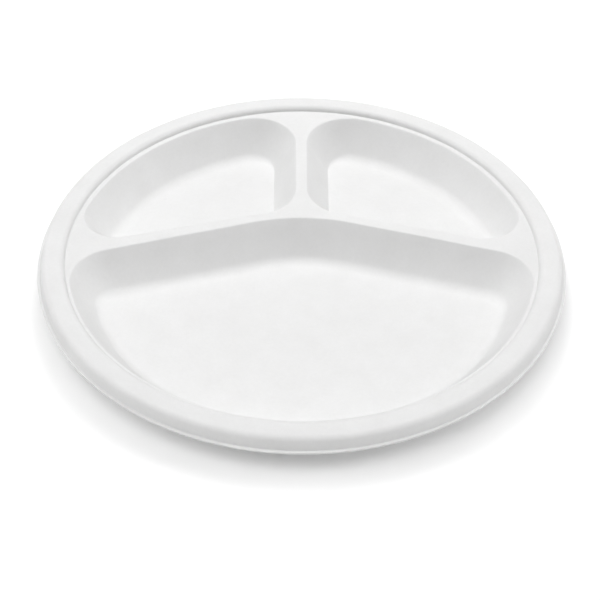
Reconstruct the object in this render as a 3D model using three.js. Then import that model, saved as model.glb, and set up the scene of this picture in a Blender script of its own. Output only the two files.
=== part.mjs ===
// A round three-compartment plate, pressed from one sheet of plant-fibre pulp.
//
// Millimetres, +Z up. The origin is on the table, under the middle of the plate.
// The large compartment is on the -Y side, the two small ones are on the +Y side.
// The plate is the same on both sides of the YZ plane.
import * as THREE from "three";

// ---- Driving dimensions -------------------------------------------------

// The sheet.
const SHEET = 0.8; // thickness everywhere
const RIM_RADIUS = 130; // outer edge of the lip
const WELL_DEPTH = 19.7; // from the ledge and the dividers' tops down to the floors
const RIM_RISE = 3.05; // from the ledge up to the rim's flat top, the highest point
const LIP_DROP = 6.2; // from the rim's flat top down to the lip's upper face

// The rim, from the ledge outwards.
const LEDGE_RADIUS = 116.1; // crease between the ledge and the rim
const INNER_FOLD = 2.7; // radius of the fold on the inside of the rim's flat top
const INNER_FOLD_AT = 119.1; // distance of that fold's centre from the axis
const OUTER_FOLD = 2.9;
const OUTER_FOLD_AT = 124.7;
const SKIRT_LEAN = 16; // degrees between the rim's outer skirt and the vertical
const LIP_EDGE = 0.3; // rounding of the lip's outer edge

// The dividers. Each arm of the main divider leaves the middle of the plate at a slope.
const SPINE_WIDTH = 6.1; // top of the divider between the small compartments
const ARM_BACK_Y = 30.4; // where the arm's edge on the small side would meet the YZ plane
const ARM_BACK_SLOPE = 15.1; // degrees
const ARM_FRONT_Y = 25.6; // the same, on the large compartment's side
const ARM_FRONT_SLOPE = 16.7; // degrees
const APEX_RADIUS = 86.5; // rounding where the two front edges meet

// The compartments, seen from above at the height of the ledge.
const SMALL_RADIUS = 113.9; // outer wall, distance from the axis
const SMALL_BACK_CORNER = 23.3;
const SMALL_SIDE_CORNER = 18.4;
const SMALL_MIDDLE_CORNER = 21.9;
const LARGE_RADIUS = 114.7;
const LARGE_CORNER = 21.2;

// The compartments' walls, in section.
const WALL_SLOPE = 59; // degrees from the horizontal
const BRINK = 1.2; // rounding where a wall meets the ledge
const FILLET = 6.5; // rounding where a wall meets the floor
const SPINE_FILLET = 0.8; // the same, along the divider between the small compartments

// Smoothness.
const RIM_STEPS = 80; // facets round the rim
const FOLD_STEPS = 4; // facets across each fold of the rim
const BRINK_STEPS = 2;
const FILLET_STEPS = 4;
const CHORD_ERROR = 0.1; // how far an outline's chords may stay inside its arcs

// ---- Heights and angles that follow from them ----------------------------

const FLOOR = SHEET; // the undersides of the floors rest on the table
const LEDGE = FLOOR + WELL_DEPTH;
const RIM_TOP = LEDGE + RIM_RISE;
const LIP_TOP = RIM_TOP - LIP_DROP;
const SLOPE = THREE.MathUtils.degToRad(WALL_SLOPE);
const LEAN = THREE.MathUtils.degToRad(SKIRT_LEAN);
const SPINE_SIDE = SPINE_WIDTH / 2;
const { sin, cos, tan, acos, atan2, sqrt, ceil, abs, PI } = Math;

// ---- Outlines of the compartments, seen from above -----------------------

// A point of an outline: where it is, which way is out of the compartment there,
// and the radius of the fillet at the foot of the wall below it.
function arc(centre, radius, from, to, filletFrom, filletTo) {
  const steps = ceil(abs(to - from) / (2 * acos(1 - CHORD_ERROR / radius)));
  const points = [];
  for (let i = 0; i <= steps; i++) {
    const share = i / steps;
    const angle = from + (to - from) * share;
    const out = new THREE.Vector2(cos(angle), sin(angle));
    points.push({
      at: centre.clone().addScaledVector(out, radius),
      out,
      fillet: THREE.MathUtils.lerp(
        filletFrom,
        filletTo,
        THREE.MathUtils.smoothstep(share, 0, 1),
      ),
    });
  }
  return points;
}

// A straight edge that leaves (0, y) downhill to +X, and the way out of the compartment.
function armEdge(y, slopeDegrees, outIsUp) {
  const slope = THREE.MathUtils.degToRad(slopeDegrees);
  const side = outIsUp ? 1 : -1;
  return {
    start: new THREE.Vector2(0, y),
    along: new THREE.Vector2(cos(slope), -sin(slope)),
    out: new THREE.Vector2(sin(slope) * side, cos(slope) * side),
  };
}

// Centre of a corner that touches the edge from the inside and the circle round the axis.
function cornerByCircle(edge, circle, corner) {
  const base = edge.start.clone().addScaledVector(edge.out, -corner);
  const b = base.dot(edge.along);
  const c = base.lengthSq() - (circle - corner) ** 2;
  return base.addScaledVector(edge.along, sqrt(b * b - c) - b);
}

const direction = (v) => atan2(v.y, v.x);

// The small compartment on the +X side, anticlockwise.
function smallOutline() {
  const edge = armEdge(ARM_BACK_Y, ARM_BACK_SLOPE, false);
  const backX = SPINE_SIDE + SMALL_BACK_CORNER;
  const backReach = SMALL_RADIUS - SMALL_BACK_CORNER;
  const back = new THREE.Vector2(backX, sqrt(backReach ** 2 - backX ** 2));
  const side = cornerByCircle(edge, SMALL_RADIUS, SMALL_SIDE_CORNER);
  const middleX = SPINE_SIDE + SMALL_MIDDLE_CORNER;
  const middle = edge.start.clone();
  middle.addScaledVector(edge.out, -SMALL_MIDDLE_CORNER);
  middle.addScaledVector(edge.along, (middleX - middle.x) / edge.along.x);
  const axis = new THREE.Vector2();
  return [
    ...arc(axis, SMALL_RADIUS, direction(side), direction(back), FILLET, FILLET),
    ...arc(back, SMALL_BACK_CORNER, direction(back), PI, FILLET, SPINE_FILLET).slice(1),
    ...arc(middle, SMALL_MIDDLE_CORNER, -PI, direction(edge.out), SPINE_FILLET, FILLET),
    ...arc(side, SMALL_SIDE_CORNER, direction(edge.out), direction(side), FILLET, FILLET)
      .slice(0, -1),
  ];
}

function mirrored(outline) {
  return outline
    .map(({ at, out, fillet }) => ({
      at: new THREE.Vector2(-at.x, at.y),
      out: new THREE.Vector2(-out.x, out.y),
      fillet,
    }))
    .reverse();
}

function largeOutline() {
  const edge = armEdge(ARM_FRONT_Y, ARM_FRONT_SLOPE, true);
  const corner = cornerByCircle(edge, LARGE_RADIUS, LARGE_CORNER);
  const apex = new THREE.Vector2(0, ARM_FRONT_Y - APEX_RADIUS / edge.out.y);
  const axis = new THREE.Vector2();
  const toCorner = direction(corner);
  const toEdge = direction(edge.out);
  const right = [
    ...arc(axis, LARGE_RADIUS, -PI / 2, toCorner, FILLET, FILLET),
    ...arc(corner, LARGE_CORNER, toCorner, toEdge, FILLET, FILLET).slice(1),
    ...arc(apex, APEX_RADIUS, toEdge, PI / 2, FILLET, FILLET),
  ];
  return [...right, ...mirrored(right).slice(1, -1)];
}

// ---- Sections -------------------------------------------------------------

// The wall of a compartment as [distance in from the outline, height], from the ledge
// to the floor. The underside is the same section, one sheet thickness further out.
function wallSection(fillet, thickness) {
  const half = tan(SLOPE / 2);
  const brinkAt = -BRINK * half;
  const footAt = WELL_DEPTH / tan(SLOPE) + fillet * half;
  const section = [];
  for (let i = 0; i <= BRINK_STEPS; i++) {
    const turn = (SLOPE * i) / BRINK_STEPS;
    const radius = BRINK - thickness;
    section.push([brinkAt + radius * sin(turn), LEDGE - BRINK + radius * cos(turn)]);
  }
  for (let i = FILLET_STEPS; i >= 0; i--) {
    const turn = (SLOPE * i) / FILLET_STEPS;
    const radius = fillet + thickness;
    section.push([footAt - radius * sin(turn), FLOOR + fillet - radius * cos(turn)]);
  }
  return section;
}

// The rim as [distance from the axis, height]: from the crease at the ledge over the
// top, down the skirt, round the lip, and back along the underside.
function rimSection() {
  const fold = (at, radius, thickness, from, to) => {
    const points = [];
    for (let i = 0; i <= FOLD_STEPS; i++) {
      const turn = from + ((to - from) * i) / FOLD_STEPS;
      const reach = radius - thickness;
      points.push([at + reach * sin(turn), RIM_TOP - radius + reach * cos(turn)]);
    }
    return points;
  };
  const skirtTurn = PI / 2 - LEAN;
  const outside = [
    ...fold(INNER_FOLD_AT, INNER_FOLD, 0, -PI / 2, 0),
    ...fold(OUTER_FOLD_AT, OUTER_FOLD, 0, 0, skirtTurn),
  ];
  const inside = [
    ...fold(OUTER_FOLD_AT, OUTER_FOLD, SHEET, skirtTurn, 0),
    ...fold(INNER_FOLD_AT, INNER_FOLD, SHEET, 0, -PI / 2),
  ];
  const lipBottom = LIP_TOP - SHEET;
  const downSkirt = ([r, z], height) => [r + (z - height) * tan(LEAN), height];
  return [
    [LEDGE_RADIUS, LEDGE],
    ...outside,
    downSkirt(outside.at(-1), LIP_TOP),
    [RIM_RADIUS - LIP_EDGE, LIP_TOP],
    [RIM_RADIUS, LIP_TOP - LIP_EDGE],
    [RIM_RADIUS, lipBottom],
    downSkirt(inside[0], lipBottom),
    ...inside,
    [INNER_FOLD_AT - INNER_FOLD + SHEET, LEDGE - SHEET],
  ];
}

// ---- One closed surface -----------------------------------------------------

const vertices = [];
const faces = [];

// Adds a closed ring of vertices and gives back their numbers.
function ring(points) {
  const first = vertices.length / 3;
  for (const [x, y, z] of points) vertices.push(x, y, z);
  return points.map((_, i) => first + i);
}

// Joins two anticlockwise rings. The face looks up where the first ring is the inner one.
function band(a, b) {
  for (let i = 0; i < a.length; i++) {
    const next = (i + 1) % a.length;
    faces.push(a[i], b[i], b[next]);
    faces.push(a[i], b[next], a[next]);
  }
}

// Fills a flat outline that has holes in it.
function flat(outline, holes, looksUp) {
  const point = (v) => new THREE.Vector2(vertices[3 * v], vertices[3 * v + 1]);
  const all = [...outline, ...holes.flat()];
  const triangles = THREE.ShapeUtils.triangulateShape(
    outline.map(point),
    holes.map((hole) => hole.map(point)),
  );
  for (const [i, j, k] of triangles) {
    const corners = [all[i], all[j], all[k]];
    const area = THREE.ShapeUtils.area(corners.map(point));
    faces.push(...(area > 0 === looksUp ? corners : corners.reverse()));
  }
}

function rimRings() {
  return rimSection().map(([radius, height]) => {
    const points = [];
    for (let i = 0; i < RIM_STEPS; i++) {
      const angle = (2 * PI * i) / RIM_STEPS;
      points.push([radius * cos(angle), radius * sin(angle), height]);
    }
    return ring(points);
  });
}

function wallRings(outline, thickness) {
  const sections = outline.map(({ fillet }) => wallSection(fillet, thickness));
  return sections[0].map((_, level) =>
    ring(
      outline.map(({ at, out }, i) => {
        const [inwards, height] = sections[i][level];
        return [at.x - out.x * inwards, at.y - out.y * inwards, height];
      }),
    ),
  );
}

function plateGeometry() {
  const rim = rimRings();
  rim.slice(1).forEach((outer, i) => band(rim[i], outer));

  const small = smallOutline();
  const outlines = [small, mirrored(small), largeOutline()];
  const tops = outlines.map((outline) => wallRings(outline, 0));
  const undersides = outlines.map((outline) => wallRings(outline, SHEET));
  for (const rings of tops) {
    rings.slice(1).forEach((inner, i) => band(inner, rings[i]));
    flat(rings.at(-1), [], true);
  }
  for (const rings of undersides) {
    rings.slice(1).forEach((inner, i) => band(rings[i], inner));
    flat(rings.at(-1), [], false);
  }
  flat(rim[0], tops.map((rings) => rings[0]), true);
  flat(rim.at(-1), undersides.map((rings) => rings[0]), false);

  const geometry = new THREE.BufferGeometry();
  geometry.setAttribute("position", new THREE.Float32BufferAttribute(vertices, 3));
  geometry.setIndex(faces);
  geometry.computeVertexNormals();
  return geometry;
}

const pulp = new THREE.MeshStandardMaterial({
  color: "#f1f1ef",
  roughness: 0.9,
  metalness: 0,
});

const plate = new THREE.Mesh(plateGeometry(), pulp);
plate.name = "compartment_plate";

const part = new THREE.Group();
part.add(plate);

export default part;
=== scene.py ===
"""A round three-compartment plate in moulded plant fibre, alone on a pale floor.

The plate is one pressed sheet. Its fine mesh is worked out here from the same dimensions
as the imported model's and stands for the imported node. Metres, +Z up, the large compartment
on the -Y side.
"""

import math

import bpy
import numpy as np
from mathutils import Euler, Matrix, Vector
from mathutils.geometry import delaunay_2d_cdt


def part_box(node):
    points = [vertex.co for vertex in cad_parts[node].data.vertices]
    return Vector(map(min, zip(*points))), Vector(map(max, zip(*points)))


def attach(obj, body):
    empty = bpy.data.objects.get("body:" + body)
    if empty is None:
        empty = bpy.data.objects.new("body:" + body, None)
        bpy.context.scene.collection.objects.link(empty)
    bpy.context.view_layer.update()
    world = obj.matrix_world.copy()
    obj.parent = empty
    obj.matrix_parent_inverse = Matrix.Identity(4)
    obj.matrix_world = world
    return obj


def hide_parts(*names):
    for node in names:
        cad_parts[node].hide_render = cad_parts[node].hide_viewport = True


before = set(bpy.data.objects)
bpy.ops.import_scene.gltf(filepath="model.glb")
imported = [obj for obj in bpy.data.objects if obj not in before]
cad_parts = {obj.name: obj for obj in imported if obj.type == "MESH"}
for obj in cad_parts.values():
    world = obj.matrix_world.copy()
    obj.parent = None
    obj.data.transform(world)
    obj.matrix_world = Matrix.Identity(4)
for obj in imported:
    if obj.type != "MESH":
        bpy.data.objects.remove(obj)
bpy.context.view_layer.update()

NODE = "compartment_plate"
MM = 0.001
RAD = math.pi / 180

# ---- The plate's dimensions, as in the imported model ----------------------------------

RIM_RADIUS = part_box(NODE)[1].x
RIM_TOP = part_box(NODE)[1].z
SHEET = 0.8 * MM
WELL_DEPTH = 19.7 * MM
FLOOR = SHEET  # height of the upper side of the compartments' floors
LEDGE = FLOOR + WELL_DEPTH  # height of the ledge and of the tops of the dividers

# The rim, from the inside out. A fold is a quarter round or less about the radius it is AT.
LEDGE_RADIUS = 116.1 * MM
INNER_FOLD, INNER_FOLD_AT = 2.7 * MM, 119.1 * MM
OUTER_FOLD, OUTER_FOLD_AT = 2.9 * MM, 124.7 * MM
SKIRT_LEAN = 16 * RAD  # from upright
LIP_DROP = 6.2 * MM
LIP_TOP = RIM_TOP - LIP_DROP

# The dividers: half the short one's width, then the long one's edges, where they cross x = 0
# and how they slope, and the radius that joins its front edges.
SPINE_SIDE = 3.05 * MM
ARM_BACK_Y, ARM_BACK_SLOPE = 30.4 * MM, 15.1 * RAD
ARM_FRONT_Y, ARM_FRONT_SLOPE = 25.6 * MM, 16.7 * RAD
APEX_RADIUS = 86.5 * MM

# The compartments: their outer arcs round the plate's axis, and their corners.
SMALL_RADIUS = 113.9 * MM
SMALL_BACK_CORNER = 23.3 * MM
SMALL_SIDE_CORNER = 18.4 * MM
SMALL_MIDDLE_CORNER = 21.9 * MM
LARGE_RADIUS = 114.7 * MM
LARGE_CORNER = 21.2 * MM

# The walls.
SLOPE = 59 * RAD
BRINK = 1.2 * MM  # rounding at the top
FILLET = 6.5 * MM  # rounding at the foot
SPINE_FILLET = 0.8 * MM  # rounding at the foot beside the short divider

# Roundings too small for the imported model.
CREASE = 0.4 * MM  # hollow where the ledge meets the rim, and where the skirt meets the lip
LIP_EDGE = 0.3 * MM
TRIM_EDGE = 0.08 * MM  # the lip's lower edge, where the sheet is cut

# How the pressed sheet strays from its mould.
SWELL = 0.14 * MM  # highest to lowest of the slow waves in its surface
SWELL_LENGTHS = (18 * MM, 60 * MM)
SWELL_WAVES = 28
SWELL_SEED = 11
SWELL_PEAK = 1.4  # about two standard deviations of the waves' sum, per root of their number
TRIM_WANDER = 0.2 * MM  # how far the cut edge of the lip strays inwards at most
TRIM_MIDDLE = 0.5  # the share of it that the edge strays on average
TRIM_WAVES = ((0.3, 5, 0.7), (0.2, 17, 2.1))  # share, waves round the plate, phase
TRIM_FADE = 4  # the power by which the straying fades from the edge to the rim's top

# Mesh sizes. A number of steps is for one arc or one straight stretch of a section.
OUTLINE_STEP = 1.7 * MM
RIM_STEPS = 540  # round the plate
FOLD_STEPS = 9
CREASE_STEPS = 4
LIP_STEPS = 4
TRIM_STEPS = 3
RIM_FLAT_STEPS = 3
LIP_FLAT_STEPS = 2
FILLET_STEPS = 8
BRINK_STEPS = 4
WALL_STEPS = 6
FLAT_STEP = 3.2 * MM  # of the triangles in the floors and on the ledge and dividers
EDGE_CLEARANCE = 0.6 * FLAT_STEP  # from the edge of a flat part to the nearest point in it
SUPPORT = 0.1 * MM  # width of the strip of level faces beside each rounding
TOUCHING = 1e-6  # arcs whose ends are closer than this need no straight edge between them
SAME_POINT = 1e-7
WHOLE_HULL = 0  # delaunay_2d_cdt's kind of result that keeps every triangle
SLIVER = 2e-4 * MM * MM  # twice the area of a triangle whose corners are all but in line


# ---- Outlines of the compartments ----------------------------------------------------
# An outline is an array of rows: x, y, the outward direction's x and y, and the radius
# of the fillet at the foot of the wall.


def arc(centre, radius, start, end, fillet_start=FILLET, fillet_end=FILLET):
    """An arc's rows, from one angle to another. Its fillet changes smoothly on the way."""
    steps = max(2, math.ceil(abs(end - start) * radius / OUTLINE_STEP))
    share = np.linspace(0, 1, steps + 1)
    angle = start + (end - start) * share
    out = np.stack([np.cos(angle), np.sin(angle)], 1)
    fillet = fillet_start + (fillet_end - fillet_start) * share**2 * (3 - 2 * share)
    return np.hstack([np.asarray(centre) + radius * out, out, fillet[:, None]])


def closed(arcs):
    """One outline from arcs in order, with straight edges across the gaps between them."""
    rows = []
    for here, after in zip(arcs, arcs[1:] + arcs[:1]):
        length = np.linalg.norm(after[0, :2] - here[-1, :2])
        rows.append(here[:-1])
        steps = math.ceil(length / OUTLINE_STEP) if length > TOUCHING else 0
        for i in range(steps):
            rows.append((here[-1] + (after[0] - here[-1]) * i / steps)[None])
    return np.vstack(rows)


def mirrored(outline):
    """The outline's mirror image across x = 0, still anticlockwise."""
    return (outline * [-1, 1, -1, 1, 1])[::-1]


def arm_edge(y, slope, out_is_up):
    """The straight edge that leaves (0, y) downhill to +X: start, direction, way out."""
    side = 1 if out_is_up else -1
    along = np.array([math.cos(slope), -math.sin(slope)])
    out = side * np.array([math.sin(slope), math.cos(slope)])
    return np.array([0.0, y]), along, out


def corner_by_circle(edge, circle, corner):
    """Centre of a corner that touches the edge and the circle round the axis."""
    start, along, out = edge
    base = start - corner * out
    b = base @ along
    c = base @ base - (circle - corner) ** 2
    return base + along * (math.sqrt(b * b - c) - b)


def direction(v):
    return math.atan2(v[1], v[0])


def small_outline():
    """The small compartment on the +X side, anticlockwise."""
    edge = arm_edge(ARM_BACK_Y, ARM_BACK_SLOPE, False)
    start, along, out = edge
    back_x = SPINE_SIDE + SMALL_BACK_CORNER
    back = (back_x, math.sqrt((SMALL_RADIUS - SMALL_BACK_CORNER) ** 2 - back_x**2))
    side = corner_by_circle(edge, SMALL_RADIUS, SMALL_SIDE_CORNER)
    middle = start - SMALL_MIDDLE_CORNER * out
    middle = middle + along * (SPINE_SIDE + SMALL_MIDDLE_CORNER - middle[0]) / along[0]
    down = direction(out)
    return closed([
        arc((0, 0), SMALL_RADIUS, direction(side), direction(back)),
        arc(back, SMALL_BACK_CORNER, direction(back), math.pi, FILLET, SPINE_FILLET),
        arc(middle, SMALL_MIDDLE_CORNER, -math.pi, down, SPINE_FILLET, FILLET),
        arc(side, SMALL_SIDE_CORNER, down, direction(side)),
    ])


def large_outline():
    """The large compartment, anticlockwise."""
    edge = arm_edge(ARM_FRONT_Y, ARM_FRONT_SLOPE, True)
    out = edge[2]
    corner = corner_by_circle(edge, LARGE_RADIUS, LARGE_CORNER)
    apex = (0, ARM_FRONT_Y - APEX_RADIUS / out[1])
    to_corner, to_edge = direction(corner), direction(out)
    right = [
        arc((0, 0), LARGE_RADIUS, -math.pi / 2, to_corner),
        arc(corner, LARGE_CORNER, to_corner, to_edge),
        arc(apex, APEX_RADIUS, to_edge, math.pi / 2),
    ]
    return closed(right + [mirrored(part) for part in reversed(right)])


# ---- Sections ------------------------------------------------------------------------


def wall_section(fillet, thickness):
    """The wall of a compartment as (distance in from the outline, height) for each level,
    from the ledge to the floor. fillet is an array with one radius per outline point."""
    half = math.tan(SLOPE / 2)
    brink_at = -BRINK * half
    foot_at = WELL_DEPTH / math.tan(SLOPE) + fillet * half
    brink = BRINK - thickness
    foot = fillet + thickness
    even = np.ones_like(fillet)
    levels = [((brink_at - SUPPORT) * even, (LEDGE - thickness) * even)]
    for turn in np.linspace(0, SLOPE, BRINK_STEPS + 1):
        at = brink_at + brink * math.sin(turn)
        levels.append((at * even, (LEDGE - BRINK + brink * math.cos(turn)) * even))
    top_at, top_z = levels[-1]
    low_at = foot_at - foot * math.sin(SLOPE)
    low_z = FLOOR + fillet - foot * math.cos(SLOPE)
    for share in np.linspace(0, 1, WALL_STEPS + 1)[1:-1]:
        levels.append((top_at + (low_at - top_at) * share, top_z + (low_z - top_z) * share))
    for turn in np.linspace(SLOPE, 0, FILLET_STEPS + 1):
        at = foot_at - foot * math.sin(turn)
        levels.append((at, FLOOR + fillet - foot * math.cos(turn)))
    levels.append((foot_at + SUPPORT, (FLOOR - thickness) * even))
    return levels


def turned(centre, radius, start, end, steps):
    """Points of an arc of a section, with the angles measured from +Z towards +R."""
    return [
        (centre[0] + radius * math.sin(a), centre[1] + radius * math.cos(a))
        for a in np.linspace(start, end, steps + 1)
    ]


def between(a, b, steps):
    """Evenly spaced points from a to b, without either end."""
    a, b = np.array(a), np.array(b)
    return [tuple(a + (b - a) * i / steps) for i in range(1, steps)]


def rim_section():
    """The rim as (radius, height), from the ledge over the top, round the lip and back
    along the underside, and the number of points on its upper side."""
    quarter = math.pi / 2
    inner = (INNER_FOLD_AT, RIM_TOP - INNER_FOLD)
    outer = (OUTER_FOLD_AT, RIM_TOP - OUTER_FOLD)
    step_radius = INNER_FOLD_AT - INNER_FOLD
    crease_centre = (step_radius - CREASE, LEDGE + CREASE)
    crease = turned(crease_centre, -CREASE, 0, -quarter, CREASE_STEPS)
    inner_fold = turned(inner, INNER_FOLD, -quarter, 0, FOLD_STEPS)
    outer_fold = turned(outer, OUTER_FOLD, 0, quarter - SKIRT_LEAN, FOLD_STEPS)

    def down_skirt(point, height):
        return (point[0] + (point[1] - height) * math.tan(SKIRT_LEAN), height)

    root_turn = quarter - SKIRT_LEAN
    root_reach = CREASE * math.tan(root_turn / 2)
    root = down_skirt(outer_fold[-1], LIP_TOP)
    root_centre = (root[0] + root_reach, LIP_TOP + CREASE)
    root_arc = turned(root_centre, -CREASE, root_turn, 0, CREASE_STEPS)
    lip_bottom = LIP_TOP - SHEET
    lip_centre = (RIM_RADIUS - LIP_EDGE, LIP_TOP - LIP_EDGE)
    lip_arc = turned(lip_centre, LIP_EDGE, 0, quarter, LIP_STEPS)
    trim_centre = (RIM_RADIUS - TRIM_EDGE, lip_bottom + TRIM_EDGE)
    trim_arc = turned(trim_centre, TRIM_EDGE, quarter, 2 * quarter, TRIM_STEPS)
    upper = [
        (LEDGE_RADIUS - CREASE - SUPPORT, LEDGE),
        *crease,
        *inner_fold[1:],
        *between(inner_fold[-1], outer_fold[0], RIM_FLAT_STEPS),
        *outer_fold,
        *between(outer_fold[-1], root_arc[0], RIM_FLAT_STEPS),
        *root_arc,
        *lip_arc,
    ]

    inside_fold = turned(outer, OUTER_FOLD - SHEET, quarter - SKIRT_LEAN, 0, FOLD_STEPS)
    inside_step = turned(inner, INNER_FOLD - SHEET, 0, -quarter, FOLD_STEPS)
    inside_root = down_skirt(inside_fold[0], lip_bottom)
    step_foot = (step_radius + SHEET, LEDGE - SHEET)
    lower = [
        *trim_arc,
        *between(trim_arc[-1], inside_root, LIP_FLAT_STEPS),
        inside_root,
        *between(inside_root, inside_fold[0], RIM_FLAT_STEPS),
        *inside_fold,
        *between(inside_fold[-1], inside_step[0], RIM_FLAT_STEPS),
        *inside_step,
        step_foot,
        (step_foot[0] - SUPPORT, step_foot[1]),
    ]
    return np.array(upper + lower), len(upper)


# ---- One closed surface --------------------------------------------------------------


class Surface:
    """Vertices and faces of one closed mesh. Faces of the screen side are marked."""

    def __init__(self):
        self.points = []
        self.count = 0
        self.faces = []
        self.screen_side = []

    def ring(self, points):
        """Adds points and gives their numbers."""
        self.points.append(points)
        self.count += len(points)
        return np.arange(self.count - len(points), self.count)

    def add(self, faces, screen_side):
        self.faces.extend(faces)
        self.screen_side.extend([screen_side] * len(faces))

    def band(self, a, b, screen_side):
        """Joins two anticlockwise rings. It looks up where the first is the inner one."""
        quads = np.stack([a, b, np.roll(b, -1), np.roll(a, -1)], 1)
        self.add(quads.tolist(), screen_side)

    def flat(self, outline, holes, height, screen_side):
        """Fills a flat outline around its holes with even triangles."""
        every = np.vstack(self.points)
        loops = [every[loop][:, :2] for loop in [outline, *holes]]
        known = np.concatenate([outline, *holes])
        inner = spread_points(loops)
        numbers = np.concatenate([
            known,
            self.ring(np.column_stack([inner, np.full(len(inner), height)])),
        ])
        flat_points = np.vstack([*loops, inner])
        edges, first = [], 0
        for loop in loops:
            n = len(loop)
            edges += [(first + i, first + (i + 1) % n) for i in range(n)]
            first += n
        spots = [Vector(p) for p in flat_points]
        made = delaunay_2d_cdt(spots, edges, [], WHOLE_HULL, SAME_POINT)
        triangles, sources = made[2:4]
        source = [given[0] for given in sources]  # the given point that each result point is
        corners = np.array([[source[i] for i in face] for face in triangles])
        middles = flat_points[corners].mean(1)
        a, b, c = (flat_points[corners[:, i]] for i in range(3))
        turn = np.cross(b - a, c - a)
        wanted = within(middles, loops) & (abs(turn) > SLIVER)
        corners, turn = corners[wanted], turn[wanted]
        wrong = (turn < 0) != screen_side
        corners[wrong] = corners[wrong][:, ::-1]
        self.add(numbers[corners].tolist(), screen_side)


def within(points, loops):
    """Which points lie inside the first loop and outside the others, by crossings."""
    inside = np.zeros(len(points), bool)
    for loop in loops:
        ends = np.roll(loop, -1, 0)
        for (x0, y0), (x1, y1) in zip(loop, ends):
            spans = (y0 > points[:, 1]) != (y1 > points[:, 1])
            if spans.any():
                at = x0 + (points[:, 1] - y0) * (x1 - x0) / (y1 - y0)
                inside ^= spans & (points[:, 0] < at)
    return inside


def spread_points(loops):
    """A triangular grid of points inside the loops, clear of their edges."""
    low, high = loops[0].min(0), loops[0].max(0)
    row_step = FLAT_STEP * math.sqrt(3) / 2
    rows = []
    for i, y in enumerate(np.arange(low[1], high[1], row_step)):
        x = np.arange(low[0] + FLAT_STEP / 2 * (i % 2), high[0], FLAT_STEP)
        rows.append(np.stack([x, np.full(len(x), y)], 1))
    points = np.vstack(rows)
    points = points[within(points, loops)]
    edge = np.vstack(loops)
    gap = np.array([np.hypot(*(edge - p).T).min() for p in points])
    return points[gap > EDGE_CLEARANCE]


def wall_rings(surface, outline, thickness):
    """Adds one side of a compartment's wall as rings, from the ledge to the floor."""
    rings = []
    for inwards, height in wall_section(outline[:, 4], thickness):
        at = outline[:, :2] - outline[:, 2:4] * inwards[:, None]
        rings.append(surface.ring(np.column_stack([at, height])))
    return rings


def pressed_sheet():
    """The whole plate as one closed surface."""
    surface = Surface()
    section, upper_count = rim_section()
    angle = np.linspace(0, 2 * math.pi, RIM_STEPS, endpoint=False)
    round_the_rim = np.stack([np.cos(angle), np.sin(angle)], 1)
    rim = [
        surface.ring(np.column_stack([radius * round_the_rim, np.full(RIM_STEPS, height)]))
        for radius, height in section
    ]
    for i in range(len(rim) - 1):
        surface.band(rim[i], rim[i + 1], i >= upper_count)

    small = small_outline()
    outlines = [small, mirrored(small), large_outline()]
    tops = [wall_rings(surface, outline, 0) for outline in outlines]
    undersides = [wall_rings(surface, outline, SHEET) for outline in outlines]
    for rings in tops:
        for outer, inner in zip(rings, rings[1:]):
            surface.band(inner, outer, False)
        surface.flat(rings[-1], [], FLOOR, False)
    for rings in undersides:
        for outer, inner in zip(rings, rings[1:]):
            surface.band(outer, inner, True)
        surface.flat(rings[-1], [], 0, True)
    surface.flat(rim[0], [rings[0] for rings in tops], LEDGE, False)
    surface.flat(rim[-1], [rings[0] for rings in undersides], LEDGE - SHEET, True)
    return surface


# ---- How the sheet strays from its mould ---------------------------------------------


def slow_waves(at):
    """A smooth random field over the plan, from -1 to 1."""
    draw = np.random.default_rng(SWELL_SEED)
    total = np.zeros(len(at))
    for _ in range(SWELL_WAVES):
        length = draw.uniform(*SWELL_LENGTHS)
        heading = draw.uniform(0, math.pi)
        phase = draw.uniform(0, 2 * math.pi)
        way = np.array([math.cos(heading), math.sin(heading)])
        total += np.sin(at @ way * (2 * math.pi / length) + phase)
    return np.clip(total / math.sqrt(SWELL_WAVES) / SWELL_PEAK, -1, 1)


def strayed(points):
    """The surface's points, moved a little, and never out of the plate's own box."""
    share = points[:, 2] / RIM_TOP
    wave = slow_waves(points[:, :2])
    lift = SWELL / 2 * ((wave + 1) * (1 - share) + (wave - 1) * share)
    radius = np.hypot(points[:, 0], points[:, 1])
    angle = np.arctan2(points[:, 1], points[:, 0])
    wander = TRIM_MIDDLE
    for part, waves, phase in TRIM_WAVES:
        wander = wander + part * np.sin(waves * angle + phase)
    near_edge = np.clip((radius - OUTER_FOLD_AT) / (RIM_RADIUS - OUTER_FOLD_AT), 0, 1)
    scale = 1 - TRIM_WANDER * wander * near_edge**TRIM_FADE / np.maximum(radius, MM)
    moved = np.column_stack([points[:, :2] * scale[:, None], points[:, 2] + lift])
    moved[:, 2] = np.clip(moved[:, 2], 0, RIM_TOP)
    return moved


# ---- Materials -----------------------------------------------------------------------


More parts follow.
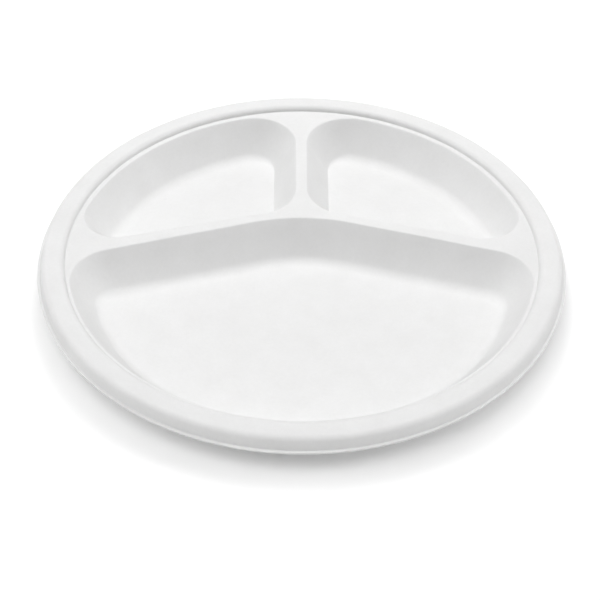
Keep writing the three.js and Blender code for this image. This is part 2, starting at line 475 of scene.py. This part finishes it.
class Nodes:
    """A short way to write a material's node tree."""

    def __init__(self, name):
        self.material = bpy.data.materials.new(name)
        self.material.use_nodes = True
        self.tree = self.material.node_tree
        self.shader = self.tree.nodes["Principled BSDF"]
        self.place = self.tree.nodes.new("ShaderNodeTexCoord").outputs["Object"]

    def node(self, kind, inputs=None, **settings):
        made = self.tree.nodes.new(kind)
        for key, value in settings.items():
            setattr(made, key, value)
        for key, value in (inputs or {}).items():
            self.put(made.inputs[key], value)
        return made

    def put(self, socket, value):
        if isinstance(value, bpy.types.NodeSocket):
            self.tree.links.new(value, socket)
        else:
            socket.default_value = value

    def noise(self, size, detail, rough=0.5, place=None):
        """Noise whose features are about size wide, in metres or in place's own units."""
        inputs = {"Scale": 1 / size, "Detail": detail, "Roughness": rough}
        inputs["Vector"] = self.place if place is None else place
        return self.node("ShaderNodeTexNoise", inputs).outputs[0]

    def ranged(self, value, old, new):
        """A value carried from one range, as (low, high), to another, and kept inside it."""
        inputs = {0: value, 1: old[0], 2: old[1], 3: new[0], 4: new[1]}
        return self.node("ShaderNodeMapRange", inputs).outputs[0]

    def math(self, operation, a, b):
        return self.node("ShaderNodeMath", {0: a, 1: b}, operation=operation).outputs[0]

    def bump(self, height, distance, under=None):
        """Relief as high as distance, on top of the relief in under."""
        inputs = {"Height": height, "Distance": distance, "Strength": 1.0}
        if under is not None:
            inputs["Normal"] = under
        return self.node("ShaderNodeBump", inputs).outputs[0]


PULP_COLOUR = (0.79, 0.79, 0.79)
PULP_MOTTLE_AND_PAINTED_SHADE = (0.68, 0.678, 0.672)  # the darker tone that clouds and clumps lean to, and the painted shade between fibres
CLOUD_SIZE = 13 * MM  # thicker and thinner places in the pulp
CLUMP_SIZE = 1.6 * MM
FIBRE_LENGTH = 2.6 * MM
FIBRE_WIDTH = 0.16 * MM
FIBRE_HEADINGS = (8, 47, 95, 139)  # degrees, across the sheet
FIBRE_RANGE = (0.45, 0.75)  # of the ridges' noise: from a hollow to a fibre's crest
WEAVE_PITCH = 0.9 * MM
WAVE_BANDS = 20 / (2 * math.pi)  # bands per unit in Blender's wave texture at scale 1
NOISE_RANGE = (0.3, 0.7)  # where nearly all of a noise's values lie

# The most that each adds to the share of PULP_MOTTLE_AND_PAINTED_SHADE.
CLOUD_SHADE = 0.2
CLUMP_SHADE = 0.16
# painted shade between the fibres; clouds and clumps are the pulp's own tone
HOLLOW_PAINTED_SHADE = 0.16

HOLLOW_ROUGHNESS, CREST_ROUGHNESS = 0.95, 0.82
PULP_SPECULAR = 0.3

# How high each stands: on both sides, or on the upper side and on the screen side.
CLOUD_RELIEF = 0.05 * MM
WEAVE_RELIEF = 0.035 * MM
CLUMP_RELIEF = (0.035 * MM, 0.06 * MM)
FELT_RELIEF = (0.03 * MM, 0.05 * MM)


def fibres(n):
    """Fine ridges that lie across each other in several headings, as felted fibres do."""
    top = None
    for i, heading in enumerate(FIBRE_HEADINGS):
        lie = n.node(
            "ShaderNodeMapping",
            {
                "Vector": n.place,
                "Location": (0, 0, i * FIBRE_LENGTH),
                "Rotation": (0, 0, heading * RAD),
                "Scale": (FIBRE_LENGTH, FIBRE_WIDTH, FIBRE_WIDTH),
            },
            vector_type="TEXTURE",
        ).outputs[0]
        ridges = n.noise(1, detail=2, place=lie)
        top = ridges if top is None else n.math("MAXIMUM", top, ridges)
    return n.ranged(top, FIBRE_RANGE, (0.0, 1.0))


def screen_weave(n):
    """Crossed waves, as a woven wire screen prints them, a little uneven."""
    wave_scale = 1 / (WAVE_BANDS * WEAVE_PITCH)
    total = None
    for axis in "XYZ":
        wave = n.node(
            "ShaderNodeTexWave",
            {"Vector": n.place, "Scale": wave_scale, "Distortion": 0.4, "Detail": 1.0},
            bands_direction=axis,
        ).outputs["Fac"]
        total = wave if total is None else n.math("ADD", total, wave)
    return total


def pulp(name, screen_side):
    """Pressed plant fibre: matt, nearly white, felted, with painted shade between the fibres,
    and with the forming screen's weave printed into the side that lay on it."""
    n = Nodes(name)
    clouds = n.noise(CLOUD_SIZE, detail=3)
    clumps = n.noise(CLUMP_SIZE, detail=4, rough=0.6)
    felt = fibres(n)

    # painted shade: darker where the fibres' ridges are low, in the hollow places between
    # them
    painted_hollow_shade = n.ranged(felt, (0.0, 1.0), (HOLLOW_PAINTED_SHADE, 0.0))
    clotted = n.ranged(clumps, NOISE_RANGE, (CLUMP_SHADE, 0.0))
    cloudy = n.ranged(clouds, NOISE_RANGE, (0.0, CLOUD_SHADE))
    mottle_and_painted_shade = n.math("ADD", n.math("ADD", cloudy, clotted), painted_hollow_shade)
    colour = n.node("ShaderNodeMix", {0: mottle_and_painted_shade}, data_type="RGBA")
    colour.inputs["A"].default_value = (*PULP_COLOUR, 1)
    colour.inputs["B"].default_value = (*PULP_MOTTLE_AND_PAINTED_SHADE, 1)
    n.put(n.shader.inputs["Base Color"], colour.outputs["Result"])
    roughness = n.ranged(felt, (0.0, 1.0), (HOLLOW_ROUGHNESS, CREST_ROUGHNESS))
    n.put(n.shader.inputs["Roughness"], roughness)
    n.put(n.shader.inputs["Specular IOR Level"], PULP_SPECULAR)

    surface = n.bump(clouds, CLOUD_RELIEF)
    if screen_side:
        surface = n.bump(screen_weave(n), WEAVE_RELIEF, surface)
    surface = n.bump(clumps, CLUMP_RELIEF[screen_side], surface)
    surface = n.bump(felt, FELT_RELIEF[screen_side], surface)
    n.put(n.shader.inputs["Normal"], surface)
    return n.material


# The studio's floor.
WHITE = (1, 1, 1, 1)
STAGE_COLOUR = (0.95, 0.95, 0.95, 1)
STAGE_GLOW = 0.1  # keeps the shadow as light as the photograph's
STAGE_PATCH = 50 * MM  # size of the smoother and rougher places
STAGE_ROUGHNESS = (0.75, 0.85)
STAGE_SPECULAR = 0.2
STAGE_SIDE = 80
STAGE_GAP = 0.05 * MM  # below the plate, so that no two faces lie in one plane


def floor_material():
    n = Nodes("pale_floor")
    n.put(n.shader.inputs["Base Color"], STAGE_COLOUR)
    n.put(n.shader.inputs["Emission Color"], WHITE)
    n.put(n.shader.inputs["Emission Strength"], STAGE_GLOW)
    patches = n.noise(STAGE_PATCH, detail=2)
    n.put(n.shader.inputs["Roughness"], n.ranged(patches, NOISE_RANGE, STAGE_ROUGHNESS))
    n.put(n.shader.inputs["Specular IOR Level"], STAGE_SPECULAR)
    return n.material


# ---- The scene -----------------------------------------------------------------------


def add_object(name, data):
    made = bpy.data.objects.new(name, data)
    bpy.context.scene.collection.objects.link(made)
    return made


CAMERA_AT = Vector((-4.2, -450.9, 407.2)) * MM
CAMERA_PITCH = 43.23 * RAD  # below the horizon
CAMERA_TURN = -0.45 * RAD
CAMERA_ROLL = 0.45 * RAD
CAMERA_LENS = 71.8  # millimetres, on a sensor 36 mm wide
CAMERA_CLIP = 0.01


def add_camera():
    data = bpy.data.cameras.new("camera")
    data.lens = CAMERA_LENS
    data.clip_start = CAMERA_CLIP
    camera = add_object("camera", data)
    aim = Euler((math.pi / 2 - CAMERA_PITCH, 0, CAMERA_TURN)).to_matrix()
    roll = Matrix.Rotation(CAMERA_ROLL, 3, "Z")
    camera.matrix_world = Matrix.LocRotScale(CAMERA_AT, (aim @ roll).to_quaternion(), None)
    bpy.context.scene.camera = camera


# Wide soft lights, so far off that they light the whole floor alike.
# name: heading from +Y towards +X and height over the horizon in degrees, strength in W/m2
LIGHTS = {
    "overhead_back_right": (45, 65, 0.42),
    "overhead_front_right": (135, 65, 0.19),
    "overhead_front": (180, 65, 0.72),
    "overhead_front_left": (225, 65, 0.6),
    "overhead_back_left": (315, 65, 0.38),
    "right": (90, 40, 0.37),
    "left": (270, 40, 0.42),
    "low_back_right": (45, 15, 0.17),
    "low_right": (90, 15, 0.67),
    "low_left": (270, 15, 0.42),
    "low_back_left": (315, 15, 0.27),
}
LIGHT_SPREAD = 31 * RAD  # the angle that each takes up, as seen from the plate

# One lamp hangs near the plate's back, so that the back is lit more than the front.
NEAR_LAMP_HEIGHT = 65 * RAD
NEAR_LAMP_DISTANCE = 0.62
NEAR_LAMP_WIDTH = 0.36
NEAR_LAMP_POWER = 0.87  # watts


def add_lights():
    for name, (heading, height, strength) in LIGHTS.items():
        data = bpy.data.lights.new(name, "SUN")
        data.angle = LIGHT_SPREAD
        data.energy = strength
        light = add_object(name, data)
        light.rotation_euler = ((90 - height) * RAD, 0, (180 - heading) * RAD)
    bpy.context.scene.view_settings.view_transform = "Standard"


def add_near_lamp():
    data = bpy.data.lights.new("near_lamp", "AREA")
    data.shape = "DISK"
    data.size = NEAR_LAMP_WIDTH
    data.energy = NEAR_LAMP_POWER
    lamp = add_object("near_lamp", data)
    way = Vector((0, math.cos(NEAR_LAMP_HEIGHT), math.sin(NEAR_LAMP_HEIGHT)))
    lamp.location = way * NEAR_LAMP_DISTANCE
    lamp.rotation_euler = (math.pi / 2 - NEAR_LAMP_HEIGHT, 0, math.pi)


def add_backdrop():
    """White all round behind the floor's far edge. It adds no light to the plate."""
    world = bpy.data.worlds.new("backdrop")
    world.use_nodes = True
    nodes = world.node_tree.nodes
    seen = nodes.new("ShaderNodeLightPath").outputs["Is Camera Ray"]
    world.node_tree.links.new(seen, nodes["Background"].inputs["Strength"])
    nodes["Background"].inputs["Color"].default_value = WHITE
    bpy.context.scene.world = world


def add_floor():
    half = STAGE_SIDE / 2
    signs = ((-1, -1), (1, -1), (1, 1), (-1, 1))
    corners = [(half * x, half * y, -STAGE_GAP) for x, y in signs]
    mesh = bpy.data.meshes.new("floor")
    mesh.from_pydata(corners, [], [(0, 1, 2, 3)])
    mesh.materials.append(floor_material())
    add_object("floor", mesh)


def add_plate():
    surface = pressed_sheet()
    mesh = bpy.data.meshes.new("plate")
    mesh.from_pydata(strayed(np.vstack(surface.points)).tolist(), [], surface.faces)
    mesh.materials.append(pulp("pulp_upper_side", False))
    mesh.materials.append(pulp("pulp_screen_side", True))
    mesh.polygons.foreach_set("material_index", np.array(surface.screen_side, int))
    mesh.polygons.foreach_set("use_smooth", np.ones(len(mesh.polygons), bool))
    mesh.update()
    plate = add_object("pressed_plate", mesh)
    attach(plate, "root")
    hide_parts(NODE)


add_camera()
add_lights()
add_near_lamp()
add_backdrop()
add_floor()
add_plate()
